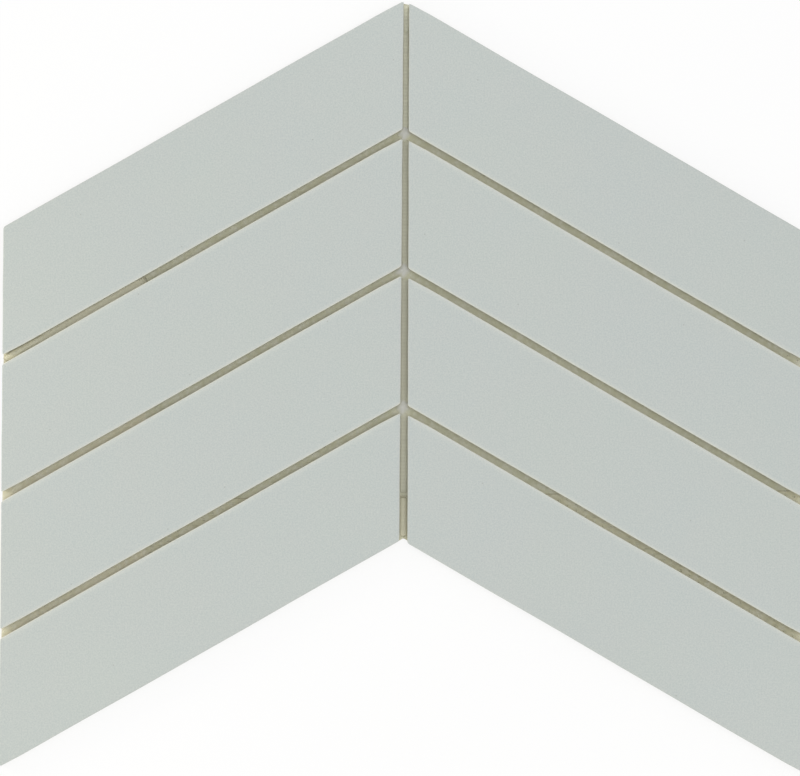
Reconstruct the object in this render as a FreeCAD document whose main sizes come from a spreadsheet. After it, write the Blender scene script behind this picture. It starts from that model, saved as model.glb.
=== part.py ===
"""Chevron mosaic sheet: two mirrored columns of parallelogram wall tiles on a fibre backing.

The sheet lies face up. +Z points out of the glazed faces, +Y towards the chevron's peak, and the
origin is under the middle of the sheet, on the underside of the backing. All lengths are in mm.
"""
import FreeCAD, Part
import Sketcher
import math
import os

# Driving dimensions: name, value, what it measures
DRIVING_SIZES = [
    ("tile_rows", 4, "tiles in each column"),
    ("tile_width", 151.15, "tile across the sheet, from its inner to its outer upright side"),
    ("tile_side", 49.0, "upright side of a tile"),
    ("tile_thickness", 6.5, "tile from back to glazed face"),
    ("chevron_angle", 30.0, "slope of the long edges, in degrees"),
    ("edge_radius", 0.7, "cushion edge round the face, and the acute corners"),
    ("corner_softening", 0.8, "how much rounder the obtuse corners are than the edges"),
    ("back_chamfer", 0.4, "bevel round the back of a tile"),
    ("slant_joint", 2.65, "joint between rows, square to the long edges"),
    ("peak_joint", 2.0, "joint between the columns, at the peak"),
    ("notch_joint", 3.0, "joint between the columns, at the notch"),
    ("column_step", 0.8, "how much lower the right column is laid"),
    ("backing_thickness", 0.5, "fibre backing"),
    ("backing_inset", 0.2, "backing trimmed back from the tiles' outline"),
    ("backing_cut", 1.0, "backing cut off at the acute tips, across the sheet"),
    ("dot_height", 1.0, "glue dot above the backing"),
    ("dot_clearance", 0.5, "glue dot to the nearest tile corner"),
]

LEFT = -1
RIGHT = 1
TOUCH = 1e-6

doc = FreeCAD.newDocument("ChevronSheet")
sheet = doc.addObject("Spreadsheet::Sheet", "Sizes")
for row, (alias, value, meaning) in enumerate(DRIVING_SIZES, start=1):
    sheet.set("A%d" % row, meaning)
    sheet.set("B%d" % row, str(value))
    sheet.setAlias("B%d" % row, alias)
doc.recompute()

# Layout formulas shared by the tiles, the backing and the dots
ANGLE = "(Sizes.chevron_angle * 1 deg)"
RISE = "(Sizes.tile_width * tan(%s))" % ANGLE
PITCH = "(Sizes.tile_side + Sizes.slant_joint / cos(%s))" % ANGLE
COLUMN = "(Sizes.tile_rows * %s - Sizes.slant_joint / cos(%s))" % (PITCH, ANGLE)
MEAN_JOINT = "((Sizes.peak_joint + Sizes.notch_joint) / 2)"
TURN = "atan((Sizes.notch_joint - Sizes.peak_joint) / (2 * %s))" % COLUMN
COLUMN_X = "(Sizes.tile_width / 2 * cos({turn}) + {joint} / 2 + {rise} / 2 * sin({turn}))".format(
    turn=TURN, joint=MEAN_JOINT, rise=RISE)


def row_height(row):
    """Height of the middle of one row, counted from the top, above the middle of its column."""
    return "((%s - Sizes.tile_side) / 2 - %d * %s)" % (COLUMN, row, PITCH)


def origin_plane(body, role):
    """One of a body's own origin planes."""
    return next(plane for plane in body.Origin.OriginFeatures if plane.Role == role)


def new_sketch(body, name, role):
    """Empty sketch on one of the body's origin planes."""
    sketch = body.newObject("Sketcher::SketchObject", name)
    sketch.AttachmentSupport = (origin_plane(body, role), [""])
    sketch.MapMode = "FlatFace"
    return sketch


def add_outline(sketch, corners):
    """Closed outline of straight lines, joined at the corners. Line i starts at corner i."""
    count = len(corners)
    points = [FreeCAD.Vector(x, y, 0) for x, y in corners]
    for index in range(count):
        sketch.addGeometry(Part.LineSegment(points[index], points[(index + 1) % count]), False)
    for index in range(count):
        sketch.addConstraint(Sketcher.Constraint("Coincident", index, 2, (index + 1) % count, 1))


def add_size(sketch, name, kind, places, value, formula):
    """Named dimension of a sketch, bound to a formula of the driving dimensions."""
    index = sketch.addConstraint(Sketcher.Constraint(kind, *places, value))
    sketch.renameConstraint(index, name)
    sketch.setExpression("Constraints." + name, formula)


def place(body, x, y, z, angle="0"):
    """Bind a body's Placement to formulas: a position, and a turn about +Z in degrees."""
    body.Placement = FreeCAD.Placement(FreeCAD.Vector(), FreeCAD.Rotation(FreeCAD.Vector(0, 0, 1), 0))
    body.setExpression("Placement.Base.x", x)
    body.setExpression("Placement.Base.y", y)
    body.setExpression("Placement.Base.z", z)
    body.setExpression("Placement.Rotation.Angle", angle)


def edges_at_height(shape, height):
    """Names of the edges that lie level at one height."""
    return ["Edge%d" % number for number, edge in enumerate(shape.Edges, start=1)
            if all(abs(vertex.Z - height) < TOUCH for vertex in edge.Vertexes)]


def corner_edges(shape):
    """Names of a tile's upright corner edges: the two acute ones, then the two obtuse ones."""
    uprights = []
    for number, edge in enumerate(shape.Edges, start=1):
        low, high = edge.Vertexes[0].Point, edge.Vertexes[-1].Point
        if math.hypot(high.x - low.x, high.y - low.y) < TOUCH:
            uprights.append((math.hypot(low.x, low.y), "Edge%d" % number))
    names = [name for reach, name in sorted(uprights, reverse=True)]
    return names[:2], names[2:]


def make_tile(name, hand, row):
    """One pressed tile: a parallelogram with cushion edges, soft obtuse corners and a bevelled back."""
    body = doc.addObject("PartDesign::Body", name)
    sketch = new_sketch(body, name + "_outline", "XY_Plane")
    outer = hand * sheet.tile_width / 2
    half_side = sheet.tile_side / 2
    half_rise = sheet.tile_width * math.tan(math.radians(sheet.chevron_angle)) / 2
    add_outline(sketch, [(outer, -half_side - half_rise), (-outer, -half_side + half_rise),
                         (-outer, half_side + half_rise), (outer, half_side - half_rise)])
    sketch.addConstraint(Sketcher.Constraint("Vertical", 1))
    sketch.addConstraint(Sketcher.Constraint("Symmetric", 0, 1, 2, 1, -1, 1))
    sketch.addConstraint(Sketcher.Constraint("Symmetric", 1, 1, 3, 1, -1, 1))
    across = (0, 1, 0, 2) if hand == LEFT else (0, 2, 0, 1)
    add_size(sketch, "width", "DistanceX", across, sheet.tile_width, "Sizes.tile_width")
    add_size(sketch, "side", "DistanceY", (1, 1, 1, 2), sheet.tile_side, "Sizes.tile_side")
    add_size(sketch, "rise", "DistanceY", (0, 1, 0, 2), 2 * half_rise, RISE)

    pad = body.newObject("PartDesign::Pad", name + "_blank")
    pad.Profile = sketch
    pad.setExpression("Length", "Sizes.tile_thickness")
    doc.recompute()

    corners = body.newObject("PartDesign::Fillet", name + "_corners")
    corners.Base = (pad, corner_edges(pad.Shape)[1])
    corners.setExpression("Radius", "Sizes.edge_radius + Sizes.corner_softening")
    doc.recompute()

    cushion = body.newObject("PartDesign::Fillet", name + "_cushion")
    acute = corner_edges(corners.Shape)[0]
    cushion.Base = (corners, acute + edges_at_height(corners.Shape, sheet.tile_thickness))
    cushion.setExpression("Radius", "Sizes.edge_radius")
    doc.recompute()

    bevel = body.newObject("PartDesign::Chamfer", name + "_bevel")
    bevel.Base = (cushion, edges_at_height(cushion.Shape, 0))
    bevel.setExpression("Size", "Sizes.back_chamfer")

    height = row_height(row)
    sign = "+" if hand == RIGHT else "-"
    lean = "-" if hand == RIGHT else "+"
    place(body,
          x="%s%s %s %s * sin(%s)" % (sign, COLUMN_X, lean, height, TURN),
          y="%s * cos(%s) %s Sizes.column_step / 2" % (height, TURN, lean),
          z="Sizes.backing_thickness",
          angle="%s%s" % (sign, TURN))
    return body


def in_column(across, along):
    """A point of the right column, from the column's own middle, in the sheet's X and Y before the step."""
    x = "({0} + ({1}) * cos({3}) - ({2}) * sin({3}))".format(COLUMN_X, across, along, TURN)
    y = "(({0}) * sin({2}) + ({1}) * cos({2}))".format(across, along, TURN)
    return x, y


def make_backing(name):
    """Fibre sheet cut to the chevron outline, a little inside the tiles' outer edges.

    Each half follows its own column's lean and step. The peak is cut straight across the joint
    between the columns, the acute outer corners are cut off, and the notch comes to a point.
    """
    body = doc.addObject("PartDesign::Body", name)
    sketch = new_sketch(body, name + "_outline", "XY_Plane")
    reach = sheet.tile_width
    end = sheet.peak_joint
    fall = reach * math.tan(math.radians(sheet.chevron_angle))
    side = sheet.tile_rows * sheet.tile_side
    top = (side + fall) / 2
    low = top - fall - side
    add_outline(sketch, [(-end, top), (end, top), (reach, top - fall), (reach, low + end), (reach - end, low),
                         (0, top - side), (end - reach, low), (-reach, low + end), (-reach, top - fall)])
    trim = "Sizes.backing_inset / cos(%s)" % ANGLE
    upper = "{0} / 2 - ({1}) * tan({2}) - {3}"
    lower = "-{0} / 2 - ({1}) * tan({2}) + {3}"
    crest = "Sizes.backing_cut - Sizes.tile_width / 2"
    outer = "Sizes.tile_width / 2 - Sizes.backing_inset"
    heel = "Sizes.tile_width / 2 - Sizes.backing_cut"
    side_cut = " + (Sizes.backing_cut - Sizes.backing_inset) / cos(%s)" % ANGLE
    corners = (
        ("peak", 0, 1, True, crest, upper.format(COLUMN, crest, ANGLE, trim)),
        ("shoulder", 8, 2, True, outer, upper.format(COLUMN, outer, ANGLE, trim)),
        ("side", 7, 3, False, outer, lower.format(COLUMN, outer, ANGLE, trim) + side_cut),
        ("foot", 6, 4, False, heel, lower.format(COLUMN, heel, ANGLE, trim)),
    )
    for corner, left, right, is_upper, across, along in corners:
        x, y = in_column(across, along)
        add_size(sketch, "left_%s_x" % corner, "DistanceX", (left, 1, -1, 1), reach, x)
        add_size(sketch, "right_%s_x" % corner, "DistanceX", (-1, 1, right, 1), reach, x)
        for side_name, line, step in (("left", left, "+"), ("right", right, "-")):
            height = "(%s %s Sizes.column_step / 2)" % (y, step)
            ends = (-1, 1, line, 1) if is_upper else (line, 1, -1, 1)
            formula = height if is_upper else "-" + height
            add_size(sketch, "%s_%s_y" % (side_name, corner), "DistanceY", ends, top, formula)
    sketch.addConstraint(Sketcher.Constraint("PointOnObject", 5, 1, -2))
    add_size(sketch, "notch", "DistanceY", (5, 1, -1, 1), top,
             "(%s - %s) / 2 - Sizes.notch_joint / 2 * tan(%s) - %s" % (COLUMN, RISE, ANGLE, trim))

    pad = body.newObject("PartDesign::Pad", name + "_sheet")
    pad.Profile = sketch
    pad.setExpression("Length", "Sizes.backing_thickness")
    return body


def make_dot(name, row):
    """Low dome of glue on the backing, where the joint under one row meets the joint between columns."""
    body = doc.addObject("PartDesign::Body", name)
    sketch = new_sketch(body, name + "_profile", "XZ_Plane")
    radius = sheet.slant_joint / 2
    height = sheet.dot_height
    centre = (height ** 2 - radius ** 2) / (2 * height)
    dome = Part.Circle(FreeCAD.Vector(0, centre, 0), FreeCAD.Vector(0, 0, 1), height - centre)
    start = math.atan2(-centre, radius)
    sketch.addGeometry(Part.ArcOfCircle(dome, start, math.pi / 2), False)
    sketch.addGeometry(Part.LineSegment(FreeCAD.Vector(0, height, 0), FreeCAD.Vector(0, 0, 0)), False)
    sketch.addGeometry(Part.LineSegment(FreeCAD.Vector(0, 0, 0), FreeCAD.Vector(radius, 0, 0)), False)
    sketch.addConstraint(Sketcher.Constraint("Coincident", 0, 2, 1, 1))
    sketch.addConstraint(Sketcher.Constraint("Coincident", 1, 2, 2, 1))
    sketch.addConstraint(Sketcher.Constraint("Coincident", 2, 2, 0, 1))
    sketch.addConstraint(Sketcher.Constraint("Coincident", 1, 2, -1, 1))
    sketch.addConstraint(Sketcher.Constraint("Vertical", 1))
    sketch.addConstraint(Sketcher.Constraint("Horizontal", 2))
    sketch.addConstraint(Sketcher.Constraint("PointOnObject", 0, 3, -2))
    half_gap = "(Sizes.slant_joint / cos(%s) / 2 - Sizes.column_step / 2)" % ANGLE
    half_joint = "(%s / 2)" % MEAN_JOINT
    add_size(sketch, "radius", "DistanceX", (2, 1, 2, 2), radius,
             "sqrt({0} * {0} + {1} * {1}) - Sizes.dot_clearance".format(half_joint, half_gap))
    add_size(sketch, "height", "DistanceY", (1, 2, 1, 1), height, "Sizes.dot_height")

    dome_turn = body.newObject("PartDesign::Revolution", name + "_dome")
    dome_turn.Profile = sketch
    dome_turn.ReferenceAxis = (sketch, ["V_Axis"])
    dome_turn.Angle = 360
    crossing = "%s - %s / 2 + %s / 2" % (row_height(row), PITCH, RISE)
    place(body, x="0", y=crossing, z="Sizes.backing_thickness")
    return body


parts = [make_backing("backing_sheet")]
row_count = int(sheet.tile_rows)
for column_name, hand in (("left", LEFT), ("right", RIGHT)):
    for row in range(row_count):
        parts.append(make_tile("%s_tile_%d" % (column_name, row + 1), hand, row))
for row in range(row_count - 1):
    parts.append(make_dot("glue_dot_%d" % (row + 1), row))
doc.recompute()

for item in doc.Objects:
    if "Invalid" in item.State or "Error" in item.State:
        raise RuntimeError("%s did not compute: %s" % (item.Label, item.State))
for body in parts:
    if body.Shape.isNull() or not body.Shape.isValid():
        raise RuntimeError("%s has no valid shape" % body.Label)

os.makedirs("parts", exist_ok=True)
for body in parts:
    body.Shape.exportStep("parts/%s.step" % body.Label)
    box = body.Shape.BoundBox
    print("%-14s volume %9.1f  x %.2f..%.2f  y %.2f..%.2f  z %.2f..%.2f" % (
        body.Label, body.Shape.Volume, box.XMin, box.XMax, box.YMin, box.YMax, box.ZMin, box.ZMax))
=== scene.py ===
"""Chevron mosaic sheet in a plain studio: glazed tiles, woven fibre backing and dots of glue.

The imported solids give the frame. Every tile, the backing and the dots are remade here as finer meshes
in the same place, dressed with procedural finishes, and shown from straight above on a white floor.
"""
import logging
import math
import random
from dataclasses import dataclass, field
from enum import Enum
from typing import NamedTuple, Sequence

import bpy
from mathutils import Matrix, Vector


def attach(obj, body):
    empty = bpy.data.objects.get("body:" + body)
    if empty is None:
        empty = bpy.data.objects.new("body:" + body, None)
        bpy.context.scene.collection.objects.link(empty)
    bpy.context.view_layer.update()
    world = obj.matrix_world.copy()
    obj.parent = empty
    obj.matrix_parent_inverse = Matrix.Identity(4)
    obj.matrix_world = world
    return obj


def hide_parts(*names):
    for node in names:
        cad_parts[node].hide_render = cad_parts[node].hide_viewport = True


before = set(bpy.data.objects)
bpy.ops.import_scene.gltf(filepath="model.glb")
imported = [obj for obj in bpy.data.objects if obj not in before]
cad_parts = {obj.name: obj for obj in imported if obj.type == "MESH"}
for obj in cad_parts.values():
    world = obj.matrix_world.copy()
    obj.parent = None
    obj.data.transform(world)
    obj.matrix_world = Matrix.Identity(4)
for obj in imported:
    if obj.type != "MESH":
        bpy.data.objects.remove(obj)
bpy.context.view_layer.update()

Colour = tuple[float, float, float, float]
Point2 = tuple[float, float]
Point3 = tuple[float, float, float]
Face = tuple[int, ...]
Socket = bpy.types.NodeSocket

LOG = logging.getLogger("chevron_sheet")
MM = 0.001
RIM = "rim"
BODY = "root"
WHITE: Colour = (1.0, 1.0, 1.0, 1.0)
# Direction up the sheet, in degrees from +X
UPRIGHT = 90.0
# Height of one repeat of the weave
WEAVE_REPEAT = 4.09 * MM
# Ranges that most values of a grain lie in
GRAIN_SPAN: Point2 = (0.3, 0.7)
WIDE_SPAN: Point2 = (0.25, 0.75)


class Hand(Enum):
    """The two mirrored columns of tiles. The value is the sign of the column's side of the sheet."""

    LEFT = -1
    RIGHT = 1

    @property
    def word(self) -> str:
        """Lower-case name, as the tiles' nodes use it."""
        return self.name.lower()


class Slot(Enum):
    """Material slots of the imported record."""

    GLAZE = "glaze"
    BACKING = "backing"
    GLUE = "glue"


class Effect(Enum):
    """Shader node groups that more than one finish uses."""

    MOTTLE = "cloud mottle"
    GRAIN = "fine grain"
    WEAVE = "fine weave"


class SocketKind(Enum):
    """Kinds of socket that the node groups have."""

    VECTOR = "NodeSocketVector"
    VALUE = "NodeSocketFloat"
    COLOUR = "NodeSocketColor"


def smooth_step(low: float, high: float, value: float) -> float:
    """Ease from 0 at low to 1 at high.

    Args:
        low: Value where the ease starts.
        high: Value where the ease ends.
        value: Value to look up.

    Returns:
        A number from 0 to 1.
    """
    part = min(max((value - low) / (high - low), 0.0), 1.0)
    return part * part * (3.0 - 2.0 * part)


def turned(x: float, y: float, angle: float) -> Point2:
    """Point turned about the origin by an angle in radians."""
    return x * math.cos(angle) - y * math.sin(angle), x * math.sin(angle) + y * math.cos(angle)


def add_object(name: str, data: bpy.types.ID) -> bpy.types.Object:
    """Put a mesh, a lamp or a camera into the scene.

    Args:
        name: Name of the object.
        data: What the object shows.

    Returns:
        The new object.
    """
    item = bpy.data.objects.new(name, data)
    bpy.context.scene.collection.objects.link(item)
    return item


def new_object(name: str, vertices: Sequence[Point3], faces: Sequence[Face]) -> bpy.types.Object:
    """Make a smooth-shaded mesh object in the scene.

    Args:
        name: Name of the object and of its mesh.
        vertices: Points in metres, in the sheet's frame.
        faces: Corner indices of each face, anticlockwise seen from outside.

    Returns:
        The new object.
    """
    mesh = bpy.data.meshes.new(name)
    mesh.from_pydata(vertices, [], faces)
    mesh.validate()
    mesh.shade_smooth()
    mesh.update()
    return add_object(name, mesh)


def ring_faces(count: int, levels: int) -> list[Face]:
    """Faces of a closed form made of equal rings of points, one above the other, and one last point on top.

    Args:
        count: Number of points in a ring.
        levels: Number of rings.

    Returns:
        Corner indices of each face, anticlockwise seen from outside.
    """
    faces: list[Face] = [tuple(reversed(range(count)))]
    for level in range(levels - 1):
        low, high = level * count, (level + 1) * count
        for index in range(count):
            after = (index + 1) % count
            faces.append((low + index, low + after, high + after, high + index))
    last, tip = (levels - 1) * count, levels * count
    for index in range(count):
        faces.append((last + index, last + (index + 1) % count, tip))
    return faces


def settle(piece: bpy.types.Object, slot: Slot, material: bpy.types.Material,
           stands_for: Sequence[str] = ()) -> None:
    """Give a finished piece its material and its place in the frame.

    Args:
        piece: The piece.
        slot: Record slot that the piece's finish belongs to; it is only logged.
        material: Material of the whole piece.
        stands_for: Solids that the piece stands for.
    """
    piece.data.materials.clear()
    piece.data.materials.append(material)
    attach(piece, BODY)
    if stands_for:
        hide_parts(*stands_for)
    LOG.info("%s: %d faces, slot %s", piece.name, len(piece.data.polygons), slot.value)


class NodeGraph:
    """Short way to write a node tree in code."""

    def __init__(self, tree: bpy.types.NodeTree) -> None:
        """Hold the tree and empty it."""
        self.tree = tree
        tree.nodes.clear()

    def connect(self, socket: Socket, value: object) -> None:
        """Link or set an input.

        Args:
            socket: The input.
            value: Output socket to link, or a plain value.
        """
        if isinstance(value, Socket):
            self.tree.links.new(value, socket)
        else:
            socket.default_value = value

    def feed(self, node: bpy.types.Node, name: str, value: object) -> None:
        """Link or set the input of a node that has a name."""
        self.connect(next(item for item in node.inputs if item.name == name and item.enabled), value)

    def add(self, kind: str, settings: dict[str, object] | None = None, **inputs: object) -> bpy.types.Node:
        """Add a node.

        Args:
            kind: Blender's node type name.
            settings: Properties of the node itself.
            **inputs: Input sockets by name, with underscores for spaces. An output socket is linked,
                and anything else is set as the socket's value.

        Returns:
            The new node.
        """
        node = self.tree.nodes.new(kind)
        for name, value in (settings or {}).items():
            setattr(node, name, value)
        for name, value in inputs.items():
            self.feed(node, name.replace("_", " "), value)
        return node

    def math(self, operation: str, first: object, second: object = 0.0, clamp: bool = False) -> Socket:
        """Arithmetic on one or two values.

        Args:
            operation: Blender's name of the operation.
            first: First value or socket.
            second: Second value or socket.
            clamp: Whether to keep the result between 0 and 1.

        Returns:
            The result's socket.
        """
        node = self.add("ShaderNodeMath", {"operation": operation, "use_clamp": clamp})
        for socket, value in zip(node.inputs, (first, second)):
            self.connect(socket, value)
        return node.outputs[0]

    def ramp(self, value: object, low: float, high: float, start: float = 0.0, end: float = 1.0) -> Socket:
        """Smooth change of one range into another.

        Args:
            value: Value or socket to map.
            low: Value that maps to start.
            high: Value that maps to end.
            start: Result at low and below.
            end: Result at high and above.

        Returns:
            The result's socket.
        """
        node = self.add("ShaderNodeMapRange", {"interpolation_type": "SMOOTHSTEP"}, Value=value,
                        From_Min=low, From_Max=high, To_Min=start, To_Max=end)
        return node.outputs["Result"]

    def mix(self, factor: object, first: object, second: object) -> Socket:
        """Blend of two colours.

        Args:
            factor: How much of the second colour shows.
            first: First colour or socket.
            second: Second colour or socket.

        Returns:
            The blended colour's socket.
        """
        node = self.add("ShaderNodeMix", {"data_type": "RGBA"}, Factor=factor, A=first, B=second)
        return next(item for item in node.outputs if item.enabled)

    def mix_shaders(self, factor: object, first: Socket, second: Socket) -> Socket:
        """Blend of two shaders.

        Args:
            factor: How much of the second shader shows.
            first: First shader.
            second: Second shader.

        Returns:
            The blended shader's socket.
        """
        node = self.add("ShaderNodeMixShader", Fac=factor)
        self.connect(node.inputs[1], first)
        self.connect(node.inputs[2], second)
        return node.outputs["Shader"]


@dataclass
class EffectLibrary:
    """Builds each shared shader effect once."""

    patch_span: Point2 = (0.36, 0.66)
    speckle_span: Point2 = (0.60, 0.74)
    threads_to_repeat: float = 3.0
    band_share: float = 0.35
    gap_share: float = 0.45
    made: dict[Effect, bpy.types.NodeTree] = field(default_factory=dict)

    def group(self, effect: Effect) -> bpy.types.NodeTree:
        """Node group of an effect, built the first time it is asked for.

        Args:
            effect: The effect.

        Returns:
            The group's tree.
        """
        if effect not in self.made:
            builders = {Effect.MOTTLE: self.build_mottle, Effect.GRAIN: self.build_grain,
                        Effect.WEAVE: self.build_weave}
            self.made[effect] = builders[effect]()
        return self.made[effect]

    def place(self, graph: NodeGraph, effect: Effect, **inputs: object) -> bpy.types.Node:
        """Put an effect into a material's tree, with the group's inputs as in NodeGraph.add."""
        return graph.add("ShaderNodeGroup", {"node_tree": self.group(effect)}, **inputs)

    @staticmethod
    def new_group(effect: Effect, inputs: dict[str, SocketKind], outputs: dict[str, SocketKind]) -> NodeGraph:
        """Empty node group with named sockets.

        Args:
            effect: Effect that names the group.
            inputs: Kind of each input, by its name.
            outputs: Kind of each output, by its name.

        Returns:
            Helper that holds the group's tree.
        """
        tree = bpy.data.node_groups.new(effect.value, "ShaderNodeTree")
        for side, sockets in (("INPUT", inputs), ("OUTPUT", outputs)):
            for name, kind in sockets.items():
                tree.interface.new_socket(name=name, in_out=side, socket_type=kind.value)
        return NodeGraph(tree)

    def build_mottle(self) -> bpy.types.NodeTree:
        """Cloudy patches of a tint over a colour, at one scale.

        Returns:
            The group's tree.
        """
        graph = self.new_group(
            Effect.MOTTLE,
            {"Vector": SocketKind.VECTOR, "Scale": SocketKind.VALUE, "Seed": SocketKind.VALUE,
             "Amount": SocketKind.VALUE, "Colour": SocketKind.COLOUR, "Tint": SocketKind.COLOUR},
            {"Colour": SocketKind.COLOUR})
        given = graph.add("NodeGroupInput").outputs
        noise = graph.add("ShaderNodeTexNoise", {"noise_dimensions": "4D"}, Vector=given["Vector"],
                          Scale=given["Scale"], W=given["Seed"], Detail=2.5, Roughness=0.55)
        patches = graph.ramp(noise.outputs["Fac"], *self.patch_span)
        mask = graph.math("MULTIPLY", patches, given["Amount"], clamp=True)
        graph.add("NodeGroupOutput", Colour=graph.mix(mask, given["Colour"], given["Tint"]))
        return graph.tree

    def build_grain(self) -> bpy.types.NodeTree:
        """Fine even grain, as a value about one half and as a sparse speckle.

        Returns:
            The group's tree.
        """
        graph = self.new_group(
            Effect.GRAIN,
            {"Vector": SocketKind.VECTOR, "Scale": SocketKind.VALUE, "Seed": SocketKind.VALUE},
            {"Value": SocketKind.VALUE, "Speckle": SocketKind.VALUE})
        given = graph.add("NodeGroupInput").outputs
        noise = graph.add("ShaderNodeTexNoise", {"noise_dimensions": "4D"}, Vector=given["Vector"],
                          Scale=given["Scale"], W=given["Seed"], Detail=3.0, Roughness=0.6).outputs["Fac"]
        graph.add("NodeGroupOutput", Value=noise, Speckle=graph.ramp(noise, *self.speckle_span))
        return graph.tree

    def build_weave(self) -> bpy.types.NodeTree:
        """Shade of a fine weave: a broad band to each repeat up the sheet, and threads with their crossings.

        Returns:
            The group's tree.
        """
        graph = self.new_group(
            Effect.WEAVE,
            {"Vector": SocketKind.VECTOR, "Repeat": SocketKind.VALUE, "Amount": SocketKind.VALUE},
            {"Mask": SocketKind.VALUE})
        given = graph.add("NodeGroupInput").outputs
        place = graph.add("ShaderNodeSeparateXYZ", Vector=given["Vector"]).outputs
        broad = graph.math("DIVIDE", math.tau, given["Repeat"])
        fine = graph.math("MULTIPLY", broad, self.threads_to_repeat)
        bands = graph.math("COSINE", graph.math("MULTIPLY", place["Y"], broad))
        weft = graph.math("COSINE", graph.math("MULTIPLY", place["Y"], fine))
        warp = graph.math("COSINE", graph.math("MULTIPLY", place["X"], fine))
        crossed = graph.math("MULTIPLY", weft, graph.ramp(warp, -1.0, 1.0, self.gap_share, 1.0))
        both = graph.math("ADD", graph.math("MULTIPLY", bands, self.band_share), crossed)
        most = 1.0 + self.band_share
        shade = graph.ramp(both, -most, most)
        graph.add("NodeGroupOutput", Mask=graph.math("MULTIPLY", shade, given["Amount"], clamp=True))
        return graph.tree


class Grain(NamedTuple):
    """Scale and seed of a noise."""

    scale: float
    seed: float


class Cloud(NamedTuple):
    """Patches of a tint over a colour: the tint, the noise that places them, and how much of it shows."""

    tint: Colour
    grain: Grain
    amount: float


def new_material(name: str) -> tuple[NodeGraph, bpy.types.Material]:
    """Empty node material.

    Args:
        name: Name of the material.

    Returns:
        The helper that fills the material, and the material.
    """
    material = bpy.data.materials.new(name)
    material.use_nodes = True
    return NodeGraph(material.node_tree), material


class Draft:
    """Material in the making: its node tree, its coordinates and the shared effects."""

    def __init__(self, name: str, effects: EffectLibrary) -> None:
        """Start an empty material.

        Args:
            name: Name of the material.
            effects: Shared effects.
        """
        self.graph, self.material = new_material(name)
        self.effects = effects
        self.place = self.graph.add("ShaderNodeTexCoord").outputs["Object"]

    def height(self) -> Socket:
        """Height above the sheet's underside."""
        return self.graph.add("ShaderNodeSeparateXYZ", Vector=self.place).outputs["Z"]

    def grain(self, grain: Grain) -> bpy.types.Node:
        """Node of a fine grain."""
        return self.effects.place(self.graph, Effect.GRAIN, Vector=self.place, Scale=grain.scale,
                                  Seed=grain.seed)

    def vary(self, grain: bpy.types.Node, start: float, end: float, span: Point2 = GRAIN_SPAN) -> Socket:
        """Value that goes from start to end over a span of a grain's values."""
        return self.graph.ramp(grain.outputs["Value"], *span, start, end)

    def clouded(self, colour: object, *clouds: Cloud) -> object:
        """Colour with clouds of other tints over it.

        Args:
            colour: Colour or socket under the clouds.
            *clouds: The clouds, from the lowest.

        Returns:
            The colour's socket.
        """
        for cloud in clouds:
            node = self.effects.place(self.graph, Effect.MOTTLE, Vector=self.place, Colour=colour,
                                      Tint=cloud.tint, Scale=cloud.grain.scale, Seed=cloud.grain.seed,
                                      Amount=cloud.amount)
            colour = node.outputs["Colour"]
        return colour

    def woven(self, colour: Socket, tint: Colour, amount: float) -> Socket:
        """Colour with the shade of the weave over it.

        Args:
            colour: Colour without the shade.
            tint: Colour of the shade.
            amount: How much of the shade shows.

        Returns:
            The colour's socket.
        """
        weave = self.effects.place(self.graph, Effect.WEAVE, Vector=self.place, Repeat=WEAVE_REPEAT,
                                   Amount=amount)
        return self.graph.mix(weave.outputs["Mask"], colour, tint)

    def bump(self, height: Socket, strength: float, distance: float, **inputs: object) -> Socket:
        """Normal of a surface with a fine relief.

        Args:
            height: Height of the relief, from 0 to 1.
            strength: How much of the relief shows.
            distance: Depth of the relief.
            **inputs: Other inputs of the bump, such as the normal under it.

        Returns:
            The normal's socket.
        """
        node = self.graph.add("ShaderNodeBump", Height=height, Strength=strength, Distance=distance, **inputs)
        return node.outputs["Normal"]

    def finish(self, **inputs: object) -> bpy.types.Material:
        """Close the material with one Principled shader.

        Args:
            **inputs: Inputs of the shader, as in NodeGraph.add.

        Returns:
            The material.
        """
        shader = self.graph.add("ShaderNodeBsdfPrincipled", **inputs)
        self.graph.add("ShaderNodeOutputMaterial", Surface=shader.outputs["BSDF"])
        return self.material


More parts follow.
